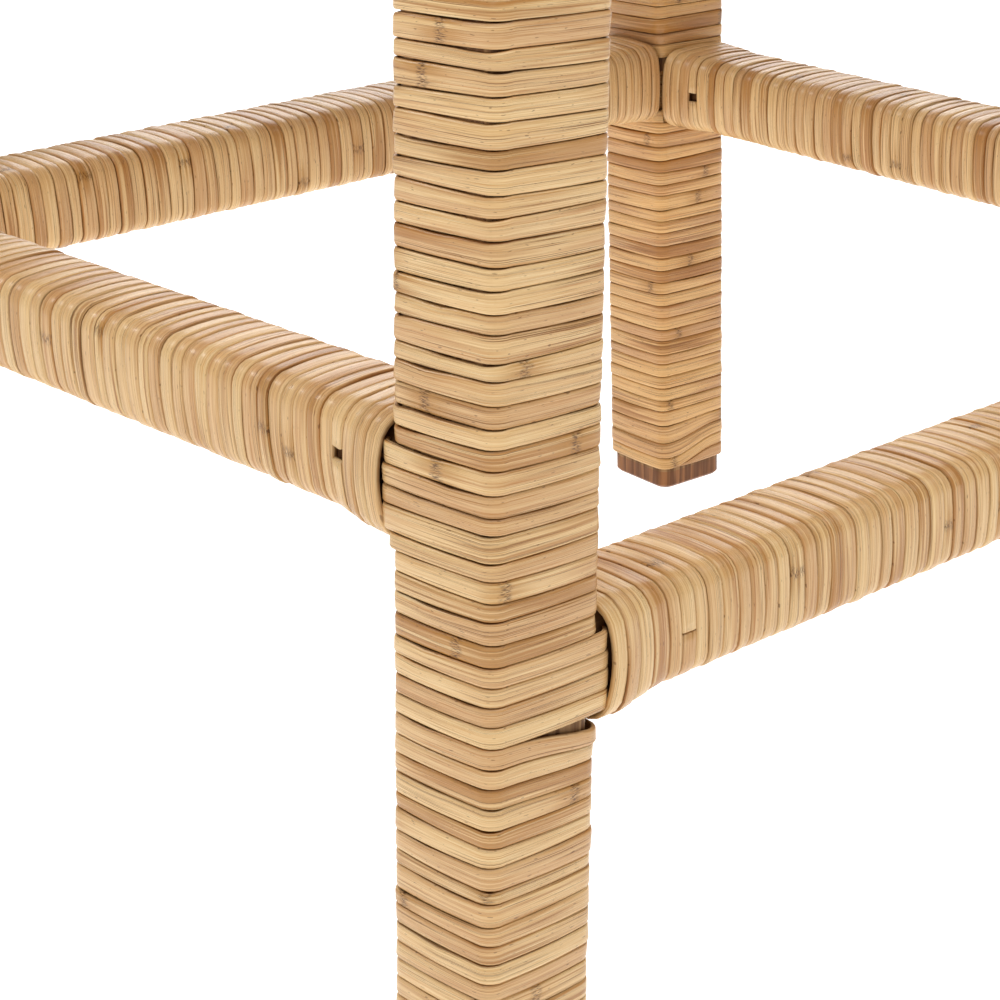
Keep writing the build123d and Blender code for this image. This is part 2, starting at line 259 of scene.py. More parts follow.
def binding_tree():
    """One strip of peel wound round a square bar with rounded arrises, from one end to the other."""
    bench = new_tree(
        "Wound peel",
        "GeometryNodeTree",
        {
            "Steps": 100,
            "Start": Vector(),
            "Run": Vector((0, 0, 1)),
            "Across": Vector((1, 0, 0)),
            "Deep": Vector((0, 1, 0)),
            "Length": 1.0,
            "Half Width": 0.02,
            "Half Depth": 0.02,
            "Edge": RAIL_EDGE,
            "Pitch": STRIP,
            "Peel": PEEL,
            "Fall": 0.0,
            "Slim": 0.0,
            "Dome": 0.4,
            "From Turn": 0.0,
            "To Turn": 10.0,
            "Low End": Vector(),
            "High End": Vector(),
            "Outer": 1.0,
            "Collar": 0.0,
            "Swell": 0.0,
            "Gap": 0.00005,
            "Gaping": Vector(),
            "First Rail": Vector(),
            "First Height": 0.0,
            "Second Rail": Vector(),
            "Second Height": 0.0,
            "Open Turn": 1000.0,
            "Open Gap": 0.0,
            "Seed": 0.0,
            "Shift": 0.0,
            "Material": bpy.types.Material,
        },
        {"Geometry": "NodeSocketGeometry"},
    )
    given = bench.inputs
    edge_radius = given["Edge"]
    mesh, step, rim = grid_places(bench, given["Steps"])
    last = given["Steps"] - 1.0

    # Where this point is round the bar. The first two steps and the last two share a place: a square end.
    share = bench.ramp(step, 1.0, last - 1.0, smooth=False)
    turn = given["From Turn"] + (given["To Turn"] - given["From Turn"]) * share
    whole = bench.math("FLOOR", turn)
    quarter = (turn - whole) * 4.0
    side = bench.math("FLOOR", quarter)
    part = quarter - side
    flat = bench.math("MINIMUM", part / FLAT_SHARE, 1.0)
    bend = bench.math("MAXIMUM", (part - FLAT_SHARE) / (1 - FLAT_SHARE), 0.0)
    facing = (side + bend) * (pi / 2)
    out_x, out_y = bench.math("COSINE", facing), bench.math("SINE", facing)
    before, after = (side - 0.5) * (pi / 2), (side + 0.5) * (pi / 2)
    corner_x = [bench.math("SIGN", bench.math("COSINE", angle)) for angle in (before, after)]
    corner_y = [bench.math("SIGN", bench.math("SINE", angle)) for angle in (before, after)]
    middle_x = (corner_x[0] + (corner_x[1] - corner_x[0]) * flat) * (given["Half Width"] - edge_radius)
    middle_y = (corner_y[0] + (corner_y[1] - corner_y[0]) * flat) * (given["Half Depth"] - edge_radius)

    # How far along the strip, counted in turns by true length.
    quarter_flat = given["Half Width"] + given["Half Depth"] - edge_radius * 2.0
    quarter_bend = (edge_radius + PEEL) * pi / 2
    flat_length = quarter_flat / (quarter_flat + quarter_bend)
    wound = whole + (side + flat * flat_length + bend * (1.0 - flat_length)) / 4.0
    girth = (quarter_flat + quarter_bend) * 4.0

    # The strip fills the room between its own edge and the next turn's. Near the ends the turns are rings.
    turns = given["Length"] / given["Pitch"]

    def edge(count):
        ring = bench.math("FLOOR", count)
        along_ring = count - ring
        from_end = bench.math("MINIMUM", count, turns - count)
        ringed = bench.ramp(from_end, END_RINGS, 1.5)
        loose = bench.ramp(from_end, 0.5, 3.0)
        slow = bench.noise(count * 0.77 + given["Seed"]) - 0.5
        quick = bench.noise(count * 2.6 + given["Seed"] + 17.0) - 0.5
        dip = bench.ramp(along_ring, 0.0, 0.5, smooth=False) - bench.ramp(along_ring, 0.75, 1.0, smooth=False)
        climb = along_ring + dip * given["Fall"]
        straight = ring + climb + (bench.ramp(along_ring, *JOG) - climb) * ringed
        return given["Pitch"] * (straight + (slow * 0.42 + quick * 0.08) * loose)

    slack = bench.noise(wound * 6.3 + given["Seed"] + 31.0, 1.0, 1.0)
    gape_x, gape_y, _ = bench.split(given["Gaping"])
    gaping = bench.math("MAXIMUM", out_x * gape_x + out_y * gape_y, 0.0)
    loose_gap = bench.math("MAXIMUM", slack - 0.50, 0.0) * (SLACK + gaping * GAPING_SLACK)
    gap = given["Gap"] + gaping * GAPING_GAP + loose_gap

    # Where a turn is missing, the turns below it have slid down on one side.
    slid = wound - 0.3
    below = given["Open Turn"] - bench.math("FLOOR", slid)
    under_gap = bench.math("GREATER_THAN", below, 0.5)
    opening = bench.math("FRACT", slid)
    opened = bench.ramp(opening, 0.46, 0.68) * bench.ramp(opening, 0.93, 0.80) * under_gap
    slide = opened * given["Open Gap"]
    low = edge(wound) - slide * bench.math("EXPONENT", below * -0.4)
    high = edge(wound + 1.0) - gap - slide * bench.math("EXPONENT", (below - 1.0) * -0.4)
    low = bench.math("MINIMUM", bench.math("MAXIMUM", low, 0.0), given["Length"])
    high = bench.math("MINIMUM", bench.math("MAXIMUM", high, 0.0), given["Length"])

    across, rise = strip_section(bench, rim, given["Dome"] + gaping * 0.12)
    ends = bench.math("MINIMUM", bench.math("MINIMUM", step, last - step), 1.0)
    width = (high - low) * ends
    plain = (low + high) / 2.0 + width * across / 2.0
    thick = given["Peel"] * ends * bench.ramp(width, 0.0, 0.0028, 0.15, 1.0)

    # Both ends take the slope of whatever the bar runs into, and bow round its swollen turns.
    edge_x = middle_x + out_x * (edge_radius + PEEL)
    edge_y = middle_y + out_y * (edge_radius + PEEL)
    up_face = edge_y / (given["Half Depth"] + PEEL)
    bow = (1.0 - up_face * up_face) * (out_x * given["Outer"] * 0.5 + 0.5)
    place = plain
    for end, away, sign in (("Low End", plain, 1.0), ("High End", given["Length"] - plain, -1.0)):
        slope_x, slope_y, depth = bench.split(given[end])
        shape = slope_x * edge_x + slope_y * edge_y + bow * depth * sign
        place = place + shape * bench.math("EXPONENT", away / -BOW_REACH)

    lift = (bench.noise(wound * 0.83 + given["Seed"] + 57.0) - 0.4) * LIFT
    tilt = (bench.noise(wound * 1.37 + given["Seed"] + 83.0) - 0.5) * TILT
    near_end = bench.math("MINIMUM", plain, given["Length"] - plain)
    sideways = bench.math("ABSOLUTE", out_x) * 0.45 + 0.55
    collar = bench.ramp(near_end, *COLLAR_REACH) * given["Collar"] * sideways
    rolled = opened * bench.math("LESS_THAN", below, 1.5) * ROLL
    corner_share_x = corner_x[0] + (corner_x[1] - corner_x[0]) * flat
    corner_share_y = corner_y[0] + (corner_y[1] - corner_y[0]) * flat
    middle = (low + high) / 2.0
    swell_x, swell_y, tucked = 0.0, 0.0, 1.0
    for rail, rail_height_input in (("First Rail", "First Height"), ("Second Rail", "Second Height")):
        toward_x, toward_y, _ = bench.split(given[rail])
        above = middle - given[rail_height_input]
        faces = (corner_share_x * toward_x + corner_share_y * toward_y + 1.0) / 2.0
        faces = bench.math("MAXIMUM", faces, 0.0)
        beside_rail = bench.math("ABSOLUTE", (above + SWELL_DROP) / SWELL_REACH) ** 10.0
        near = faces * bench.math("EXPONENT", beside_rail * -1.0)
        swell_x = swell_x + near * given["Swell"] * toward_x
        swell_y = swell_y + near * given["Swell"] * toward_y
        beside_ring = bench.math("ABSOLUTE", above / TUCK_REACH) ** 10.0
        tucked = tucked * faces ** 6.0 * bench.math("EXPONENT", beside_ring * -1.0)
    crown = flat * (1.0 - flat) * (4 * CROWN) * bench.math("GREATER_THAN", 0.00001, bend)
    slim = bench.ramp(place, *SLIM_HEIGHTS) * given["Slim"]
    uneven = (across * tilt + lift + crown + rolled) * ends
    height = edge_radius - slim + rise * thick + uneven + collar - tucked * TUCK

    point = bench.total(
        given["Start"],
        bench.along(given["Run"], place / given["Length"]),
        bench.along(given["Across"], middle_x + swell_x + out_x * height),
        bench.along(given["Deep"], middle_y + swell_y + out_y * height),
    )
    finish_strips(bench, mesh, point, wound * girth + given["Shift"], across)
    return bench.tree


def weave_tree():
    """One direction of a plain weave: flat strips side by side that pass over and under the others."""
    bench = new_tree(
        "Woven strips",
        "GeometryNodeTree",
        {
            "Strips": 10,
            "Steps": 100,
            "Centre": Vector(),
            "Along": Vector((0, 1, 0)),
            "Beside": Vector((1, 0, 0)),
            "Pitch": 0.008,
            "Low Half": 0.1,
            "Half Length": 0.1,
            "Taper Along": 0.0,
            "Taper Beside": 0.0,
            "Corner": 0.0,
            "Start Over": 0.0,
            "Peel": 0.001,
            "Wave": 0.0009,
            "Seed": 0.0,
            "Material": bpy.types.Material,
        },
        {"Geometry": "NodeSocketGeometry"},
    )
    given = bench.inputs
    mesh, step, rim = grid_places(bench, given["Steps"] * given["Strips"])
    strip = bench.math("FLOOR", (step + 0.5) / given["Steps"])
    step = step - strip * given["Steps"]
    last = given["Steps"] - 1.0
    across, rise = strip_section(bench, rim, 0.35)

    centre = (strip - (given["Strips"] - 1.0) / 2.0) * given["Pitch"]
    ends = bench.math("MINIMUM", bench.math("MINIMUM", step, last - step), 1.0)
    share = bench.ramp(step, 1.0, last - 1.0, -1.0, 1.0, smooth=False)
    beside = centre + across * ends * (given["Pitch"] / 2.0 - 0.0002)
    into_corner = bench.math("ABSOLUTE", beside) - given["Low Half"] + given["Corner"]
    into_corner = bench.math("MINIMUM", bench.math("MAXIMUM", into_corner, 0.0), given["Corner"])
    round_off = given["Corner"] - bench.math("SQRT", given["Corner"] ** 2.0 - into_corner ** 2.0)
    along = share * (given["Half Length"] + beside * given["Taper Along"] - round_off)
    wander = (bench.noise(strip * 7.3 + along * 9.0 + given["Seed"]) - 0.5) * 0.0012
    limit = given["Low Half"] + along * given["Taper Beside"]
    beside = bench.math("MINIMUM", bench.math("MAXIMUM", beside + wander, limit * -1.0), limit)
    phase = (along / given["Pitch"] + strip + given["Start Over"]) * pi
    height = bench.math("COSINE", phase) * given["Wave"] + rise * given["Peel"] * ends
    point = bench.total(
        given["Centre"],
        bench.along(given["Along"], along),
        bench.along(given["Beside"], beside),
        bench.vector(0.0, 0.0, height),
    )
    finish_strips(bench, mesh, point, along + strip * 0.7, across)
    return bench.tree


def make_piece(name, tree, values, stands_for):
    """Runs a tree once and keeps its result as a plain mesh that stands for the given CAD nodes."""
    piece = bpy.data.objects.new(name, bpy.data.meshes.new(name))
    bpy.context.scene.collection.objects.link(piece)
    maker = piece.modifiers.new("Make", "NODES")
    maker.node_group = tree
    for item in tree.interface.items_tree:
        if item.in_out == "INPUT" and item.name in values:
            maker[item.identifier] = values[item.name]
    bpy.context.view_layer.update()
    made = piece.evaluated_get(bpy.context.evaluated_depsgraph_get())
    mesh = bpy.data.meshes.new_from_object(made)
    piece.modifiers.clear()
    blank, piece.data = piece.data, mesh
    bpy.data.meshes.remove(blank)
    mesh.name = name
    turn_outwards(mesh)
    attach(piece, "root")
    if stands_for:
        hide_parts(*stands_for)
    return piece


def turn_outwards(mesh):
    """Flips a closed mesh whose faces point inwards."""
    mesh.calc_loop_triangles()
    points = [v.co for v in mesh.vertices]
    corners = [triangle.vertices for triangle in mesh.loop_triangles]
    volume = sum(points[a].dot(points[b].cross(points[c])) for a, b, c in corners)
    if volume < 0:
        mesh.flip_normals()


# ---- materials ----------------------------------------------------------------------------------
STRAW, HONEY, BROWN = (0.82, 0.570, 0.236, 1.0), (0.64, 0.350, 0.095, 1.0), (0.47, 0.222, 0.046, 1.0)
# pale fibres in a desaturated colour: a painted highlight
PALE_FIBRE_HIGHLIGHT = (1.0, 0.91, 0.68, 1.0)
HAIRLINE = (0.23, 0.095, 0.028, 1.0)
NODE_BROWN = (0.105, 0.036, 0.006, 1.0)
SPECK_BROWN = (0.16, 0.065, 0.02, 1.0)
# the dark brown put on a strip's edges: painted shade of the gap beside the next turn, with some dark stain
# there
EDGE_STAIN_AND_SHADE = (0.105, 0.038, 0.008, 1.0)
NODE_SPACING = 0.33        # metres of peel between two nodes, as the cane grew
# a darker, more orange straw and honey with less blue, used only on the rear-right leg
DEEPER_ORANGE_TONES = {"straw": (0.82, 0.49, 0.125, 1.0), "honey": (0.60, 0.285, 0.048, 1.0)}


def peel_look_group():
    """Colour, shine and relief of a rattan peel strip from its own UV map: metres along, -1 to 1 across."""
    bench = new_tree(
        "Peel look",
        "ShaderNodeTree",
        {
            "Strip": Vector(),
            "Straw": STRAW,
            "Honey": HONEY,
            "Brown": BROWN,
            "Seed": 0.0,
            "Brown Share": 0.5,
        },
        {
            "Color": "NodeSocketColor",
            "Roughness": "NodeSocketFloat",
            "Height": "NodeSocketFloat",
            "Polish": "NodeSocketFloat",
        },
    )
    given = bench.inputs
    length, across, _ = bench.split(given["Strip"])
    place = length + given["Seed"] * 13.7

    fibre = bench.noise(bench.vector(place * 24.0, across * 10.0, given["Seed"]), 1.0, 3.0, 0.62)
    coarse = bench.noise(bench.vector(place * 11.0, across * 2.6, given["Seed"] + 4.0), 1.0, 2.0)
    tone = bench.noise(place * 7.0, 1.0, 2.0)
    colour = bench.mix(bench.ramp(tone + (coarse - 0.5) * 0.6, 0.38, 0.66), given["Straw"], given["Honey"])
    stain = bench.noise(place * 5.3 + 71.0, 1.0, 2.0)
    stained = bench.ramp(stain + (coarse - 0.5) * 0.6, 0.55, 0.70) * given["Brown Share"]
    colour = bench.mix(stained, colour, given["Brown"])

    thread = bench.noise(bench.vector(place * 60.0, across * 26.0, given["Seed"] + 2.0), 1.0, 1.0)
    grain = bench.ramp(fibre * 0.6 + thread * 0.4, 0.32, 0.68, 0.0, 1.0, smooth=False)
    colour = bench.mix(grain * -0.75 + 0.75, colour, given["Honey"], "MULTIPLY")
    # Painted highlight: the fibres are lightened towards a pale, desaturated colour.
    colour = bench.mix(grain * (1.0 - stained) * 0.30, colour, PALE_FIBRE_HIGHLIGHT)

    # Long hairlines between the fibres.
    drawn = bench.noise(bench.vector(place * 4.5, across * 7.5, given["Seed"] + 9.0), 1.0, 1.0)
    line = bench.ramp(bench.math("ABSOLUTE", drawn - 0.5), 0.026, 0.005)
    line = line * bench.ramp(bench.noise(bench.vector(place * 22.0, across * 3.0, 2.0)), 0.40, 0.56)
    colour = bench.mix(line * 0.85, colour, HAIRLINE)

    # A node every few turns: broken dark specks in an orange-brown patch.
    cell = bench.math("FLOOR", place / NODE_SPACING)
    chance = bench.node("ShaderNodeTexWhiteNoise", {"W": cell}, noise_dimensions="1D")
    ripple = (bench.noise(bench.vector(cell, across * 1.6, 5.0), 1.0, 3.0) - 0.5) * 0.007
    near = bench.math("ABSOLUTE", place - (cell + 0.2 + chance * 0.6) * NODE_SPACING + ripple)
    crumbs = bench.noise(bench.vector(place * 500.0, across * 13.0, cell), 1.0, 2.0)
    ring = bench.ramp(near, 0.0030, 0.0004) * bench.ramp(crumbs, 0.47, 0.57)
    patch = bench.ramp(near, 0.013, 0.001) * bench.ramp(coarse, 0.36, 0.54)
    colour = bench.mix(patch * 0.7, colour, given["Brown"])
    colour = bench.mix(ring * 0.85, colour, NODE_BROWN)

    speck = bench.ramp(bench.noise(bench.vector(place * 330.0, across * 5.0, 7.0), 1.0, 1.0), 0.69, 0.75)
    colour = bench.mix(speck * 0.6, colour, SPECK_BROWN)

    # Painted shade: the strip's edges are darkened in patches, standing in for the shade in the gap beside
    # the next turn, along with some dark stain. The same edge mask also roughens the edges and takes their
    # coat away.
    rim = bench.ramp(bench.math("ABSOLUTE", across) + (coarse - 0.5) * 0.05, 0.91, 1.0)
    patchy_edge_stain_and_shade = bench.ramp(bench.noise(bench.vector(place * 34.0, across, 31.0)), 0.38, 0.60, 0.06, 0.70)
    colour = bench.mix(rim * patchy_edge_stain_and_shade, colour, EDGE_STAIN_AND_SHADE)

    bench.feed(bench.exit.inputs["Color"], colour)
    bench.feed(bench.exit.inputs["Roughness"], bench.ramp(fibre, 0.3, 0.7, 0.36, 0.50) + rim * 0.25)
    bench.feed(bench.exit.inputs["Height"], fibre * 0.6 - line * 0.55 - ring * 0.6 + coarse * 0.4)
    bench.feed(bench.exit.inputs["Polish"], (1.0 - rim) * (1.0 - line) * 0.40)
    return bench.tree


def wood_grain_group():
    """Straight-grained hardwood, with the grain along the vector's Z."""
    bench = new_tree(
        "Wood grain",
        "ShaderNodeTree",
        {"Vector": Vector(), "Light": (0.6, 0.4, 0.2, 1.0), "Dark": (0.3, 0.16, 0.07, 1.0)},
        {"Color": "NodeSocketColor", "Roughness": "NodeSocketFloat", "Height": "NodeSocketFloat"},
    )
    given = bench.inputs
    x, y, z = bench.split(given["Vector"])
    wide = bench.vector(x * 55.0, y * 55.0, z * 3.5)
    fine = bench.vector(x * 900.0, y * 900.0, z * 26.0)
    figure = bench.noise(wide, 1.0, 2.0)
    rings = bench.math("FRACT", figure * 9.0)
    band = bench.ramp(rings, 0.0, 0.75) * bench.ramp(rings, 1.0, 0.8)
    pores = bench.noise(fine, 1.0, 3.0, 0.6)
    shade = bench.ramp(band * 0.45 + pores * 0.8, 0.25, 0.95)
    bench.feed(bench.exit.inputs["Color"], bench.mix(shade, given["Light"], given["Dark"]))
    bench.feed(bench.exit.inputs["Roughness"], bench.ramp(pores, 0.3, 0.7, 0.45, 0.62))
    bench.feed(bench.exit.inputs["Height"], pores)
    return bench.tree


def new_material(name):
    """An empty material, with its bench and its Principled BSDF."""
    material = bpy.data.materials.new(name)
    material.use_nodes = True
    bench = Bench(material.node_tree)
    return material, bench, material.node_tree.nodes["Principled BSDF"]


def dress(bench, shader, group, inputs, relief, distance):
    """Feeds a look group's colour, roughness and relief into the shader."""
    node = bench.tree.nodes.new("ShaderNodeGroup")
    node.node_tree = group
    for name, value in inputs.items():
        bench.feed(node.inputs[name], value)
    bench.tree.links.new(node.outputs["Color"], shader.inputs["Base Color"])
    bench.tree.links.new(node.outputs["Roughness"], shader.inputs["Roughness"])
    height = Wire(bench, node.outputs["Height"])
    bump = bench.node("ShaderNodeBump", {"Strength": relief, "Distance": distance, "Height": height})
    bench.tree.links.new(bump.socket, shader.inputs["Normal"])
    shader.inputs["Specular IOR Level"].default_value = 0.22
    return node


def peel_material(name, seed, brown_share=0.75, straw=STRAW, honey=HONEY):
    material, bench, shader = new_material(name)
    strip = bench.node("ShaderNodeUVMap", output="UV", uv_map="Strip")
    looks = {"Strip": strip, "Seed": seed, "Brown Share": brown_share, "Straw": straw, "Honey": honey}
    node = dress(bench, shader, PEEL_LOOK, looks, 0.5, 0.0004)
    bench.tree.links.new(node.outputs["Polish"], shader.inputs["Coat Weight"])
    shader.inputs["Coat Roughness"].default_value = 0.26
    return material


def wood_material(name, grain, light, dark, coat=0.0):
    """grain is the member's direction: the pattern is turned so that its Z lies along it."""
    material, bench, shader = new_material(name)
    place = bench.node("ShaderNodeTexCoord", output="Object")
    turned = bench.node("ShaderNodeMapping", {"Vector": place, "Rotation": grain})
    looks = {"Vector": turned, "Light": light, "Dark": dark}
    dress(bench, shader, WOOD_GRAIN, looks, 0.3, 0.0003)
    shader.inputs["Coat Weight"].default_value = coat
    shader.inputs["Coat Roughness"].default_value = 0.2
    return material


def metal_material(name, colour, rough):
    material, bench, shader = new_material(name)
    place = bench.node("ShaderNodeTexCoord", output="Object")
    wear = bench.noise(place, 900.0, 3.0)
    shader.inputs["Metallic"].default_value = 1.0
    tint = bench.mix(bench.ramp(wear, 0.35, 0.65), colour, tuple(c * 0.6 for c in colour[:3]) + (1.0,))
    bench.tree.links.new(tint.socket, shader.inputs["Base Color"])
    roughness = bench.ramp(wear, 0.3, 0.7, rough - 0.08, rough + 0.12)
    bench.tree.links.new(roughness.socket, shader.inputs["Roughness"])
    return material


# ---- where the members are ----------------------------------------------------------------------
def leg_line(leg):
    """A leg's centre line, as a function of height."""
    (low, high), (cap_low, cap_high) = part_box(f"{leg}_foot"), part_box(f"{leg}_leg_cap")
    bottom = Vector(((low[0] + high[0]) / 2, (low[1] + high[1]) / 2, 0.0045))
    top = Vector([(below + above) / 2 for below, above in zip(cap_low, cap_high)])
    lean = (top - bottom) / (top.z - bottom.z)
    return lambda z: bottom + lean * (z - bottom.z)


LINES = {leg: leg_line(leg) for leg in LEGS}


def side_direction(side, z):
    first, second = SIDES[side]
    return (LINES[second](z) - LINES[first](z)).normalized()


def leg_faces(leg):
    """Level unit vectors square to a leg's faces: across the stool, and towards the rear."""
    along = side_direction("left" if LEGS[leg][0] < 0 else "right", 0.3)
    return Vector((along.y, -along.x, 0)), along


def rail_height(side, kind):
    low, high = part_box(f"{side}_{kind}_binding")
    return (low[2] + high[2]) / 2


def wind(name, values, turns, stands_for, joins=()):
    """Winds one bar. joins are (turn, gap in turns) where one strip stops and the next begins."""
    start = JOG[0] - 1.0
    stops = list(joins) + [(turns, 0.0)]
    for number, (stop, gap) in enumerate(stops):
        strip = values | {
            "From Turn": start,
            "To Turn": float(stop),
            "Steps": round((stop - start) * STEPS_PER_TURN) + 3,
            "Shift": 0.37 * number,
        }
        make_piece(f"{name}_wound_peel_{number + 1}", BINDING, strip, [stands_for])
        start = stop + gap


def bind_leg(leg, seed, material, open_turn=1000.0, open_gap=0.0, gaping=0.0):
    start, end = LINES[leg](LEG_FOOT), LINES[leg](LEG_TOP)
    across, deep = leg_faces(leg)
    length = end.z - start.z
    lean = (end - start) / length
    level_end = Vector((across.dot(lean), deep.dot(lean), 0))
    turns = round(length / STRIP)
    values = {
        "Start": start,
        "Run": end - start,
        "Across": across - lean * across.dot(lean),
        "Deep": deep - lean * deep.dot(lean),
        "Length": length,
        "Half Width": LEG_HALF,
        "Half Depth": LEG_HALF,
        "Edge": LEG_EDGE,
        "Pitch": length / turns,
        "Peel": LEG_PEEL,
        "Fall": FALL,
        "Dome": 0.40,
        "Slim": SLIM,
        "Gaping": Vector((-across.x, -deep.x, 0)) * gaping,
        "Low End": level_end,
        "High End": level_end,
        "Swell": SWELL,
        "Open Turn": open_turn,
        "Open Gap": open_gap,
        "Seed": seed,
        "Material": material,
    }
    rails = [side for side in SIDES if leg in SIDES[side]]
    for label, side in zip(("First", "Second"), rails):
        other = SIDES[side][1] if SIDES[side][0] == leg else SIDES[side][0]
        level = rail_height(side, "stretcher")
        toward = (LINES[other](level) - LINES[leg](level)).normalized()
        values[f"{label} Rail"] = Vector((toward.dot(across), toward.dot(deep), 0))
        values[f"{label} Height"] = level - LEG_FOOT
    wind(leg, values, turns, f"{leg}_leg_binding")


def bind_rail(side, kind, half_depth, seed, material, bow, joins=()):
    level = rail_height(side, kind)
    first, second = SIDES[side]
    start, end = LINES[first](level), LINES[second](level)
    along = (end - start).normalized()
    across = Vector((0, 0, 1)).cross(along)
    length = (end - start).length
    standoff = LEG_HALF + PEEL + RING_STANDOFF

    def slopes(leg):
        """How a rail's end leans across and up the rail, to lie against its leg."""
        face_across, face_deep = leg_faces(leg)
        face = face_deep if abs(along.dot(face_deep)) > 0.7 else face_across
        lean = LINES[leg](1.0) - LINES[leg](0.0)
        return Vector((-across.dot(face) / along.dot(face), face.dot(lean) / along.dot(face), bow))

    room = length - 2 * standoff
    turns = round(room / RAIL_STRIP)
    values = {
        "Start": start + along * standoff,
        "Run": along * room,
        "Across": across,
        "Deep": Vector((0, 0, 1)),
        "Length": room,
        "Half Width": RAIL_HALF,
        "Half Depth": half_depth,
        "Pitch": room / turns,
        "Peel": PEEL,
        "Dome": 0.28,
        "Gap": 0.00018,
        "Low End": slopes(first),
        "High End": slopes(second),
        "Outer": 1.0 if side in ("left", "rear") else -1.0,
        "Collar": COLLAR if side in ("front", "left") else REAR_COLLAR,
        "Seed": seed,
        "Material": material,
    }
    joins = [(turns + turn if turn < 0 else turn, gap) for turn, gap in joins]
    wind(f"{side}_{kind}", values, turns, f"{side}_{kind}_binding", joins)


def cap_leg(leg, material):
    """Short strips of peel side by side over the end of a leg."""
    low, high = (Vector(corner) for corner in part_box(f"{leg}_leg_cap"))
    across, deep = leg_faces(leg)
    half = LEG_HALF + PEEL
    values = {
        "Strips": 7,
        "Steps": 9,
        "Centre": Vector(((low.x + high.x) / 2, (low.y + high.y) / 2, low.z + 0.0003)),
        "Along": deep,
        "Beside": across,
        "Pitch": half * 2 / 7,
        "Low Half": half,
        "Half Length": half,
        "Corner": LEG_EDGE + PEEL,
        "Peel": high.z - low.z - 0.0004,
        "Wave": 0.0,
        "Material": material,
    }
    make_piece(f"{leg}_cap_peel", WEAVE, values, [f"{leg}_leg_cap"])


def trim_seat(side, material):
    """One mitred length of flat peel along an edge of the seat."""
    low, high = (Vector(corner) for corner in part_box(f"{side}_seat_trim"))
    along = side_direction(side, high.z)
    outward = {"front": (0, -1, 0), "rear": (0, 1, 0), "left": (-1, 0, 0), "right": (1, 0, 0)}[side]
    reach = (high.y - low.y if abs(along.y) > 0.7 else high.x - low.x) / 2
    width = 0.008
    values = {
        "Strips": 1,
        "Steps": 60,
        "Centre": Vector(((low.x + high.x) / 2, (low.y + high.y) / 2, low.z + 0.0001)),
        "Along": along,
        "Beside": Vector(outward),
        "Pitch": width,
        "Low Half": width / 2,
        "Half Length": reach - width / 2,
        "Taper Along": 1.0,
        "Peel": high.z - low.z - 0.0003,
        "Wave": 0.0,
        "Seed": 31.0,
        "Material": material,
    }
    make_piece(f"{side}_seat_trim_peel", WEAVE, values, [f"{side}_seat_trim"])


def weave_seat(material_fore, material_cross):
    low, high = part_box("woven_seat")
    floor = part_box("seat_board")[1][2]
    half_depth = (high[1] - low[1]) / 2
    front = (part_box("front_seat_trim")[1][0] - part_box("front_seat_trim")[0][0]) / 2
    rear = high[0]
    taper = (rear - front) / (2 * half_depth)
    middle = (rear + front) / 2
    pitch = 0.0078
    centre = Vector((0, (low[1] + high[1]) / 2, floor + 0.0019))
    common = {"Pitch": pitch, "Peel": 0.0011, "Wave": 0.0010}
    fore_half, cross_half = int(rear / pitch), int(half_depth / pitch)
    fore_strips, cross_strips = 2 * fore_half + 1, 2 * cross_half + 1
    fore = common | {
        "Strips": fore_strips,
        "Steps": cross_strips * 4 + 3,
        "Centre": centre,
        "Along": Vector((0, 1, 0)),
        "Beside": Vector((1, 0, 0)),
        "Half Length": half_depth,
        "Low Half": middle,
        "Taper Beside": taper,
        "Start Over": 0.0,
        "Seed": 11.0,
        "Material": material_fore,
    }
    cross = common | {
        "Strips": cross_strips,
        "Steps": fore_strips * 4 + 3,
        "Centre": centre,
        "Along": Vector((1, 0, 0)),
        "Beside": Vector((0, 1, 0)),
        "Half Length": middle,
        "Taper Along": taper,
        "Low Half": half_depth,
        "Start Over": 1.0 + (fore_half + cross_half) % 2,
        "Seed": 23.0,
        "Material": material_cross,
    }
    make_piece("seat_fore_and_aft_strips", WEAVE, fore, ["woven_seat"])
    make_piece("seat_cross_strips", WEAVE, cross, ["woven_seat"])


# ---- build --------------------------------------------------------------------------------------
PEEL_LOOK = peel_look_group()
WOOD_GRAIN = wood_grain_group()
BINDING = binding_tree()
WEAVE = weave_tree()

upright = Vector((0, 0, 0))
lying_across = Vector((0, pi / 2, 0))
lying_fore = Vector((pi / 2, 0, 0))
LEG_LIGHT, LEG_DARK = (0.38, 0.21, 0.085, 1.0), (0.15, 0.065, 0.022, 1.0)
# The rail cores show only in the holes and gaps of their binding, so their hardwood colours are darkened as
# painted shade there.
RAIL_LIGHT_IN_SHADE, RAIL_DARK_IN_SHADE = (0.17, 0.080, 0.030, 1.0), (0.07, 0.028, 0.010, 1.0)
leg_wood = wood_material("Leg hardwood", upright, LEG_LIGHT, LEG_DARK)
cross_wood_in_shade = wood_material("Cross rail hardwood in painted shade", lying_across, RAIL_LIGHT_IN_SHADE, RAIL_DARK_IN_SHADE)
fore_wood_in_shade = wood_material("Side rail hardwood in painted shade", lying_fore, RAIL_LIGHT_IN_SHADE, RAIL_DARK_IN_SHADE)
board_wood = wood_material("Seat board ply", lying_across, (0.66, 0.49, 0.30, 1.0), (0.48, 0.31, 0.16, 1.0))
FOOT_LIGHT, FOOT_DARK = (0.34, 0.140, 0.045, 1.0), (0.15, 0.055, 0.017, 1.0)
foot_wood = wood_material("Dark foot hardwood", upright, FOOT_LIGHT, FOOT_DARK, coat=0.15)
steel = metal_material("Zinc-plated screw steel", (0.62, 0.62, 0.64, 1.0), 0.34)
brass = metal_material("Brad brass", (0.72, 0.52, 0.22, 1.0), 0.32)

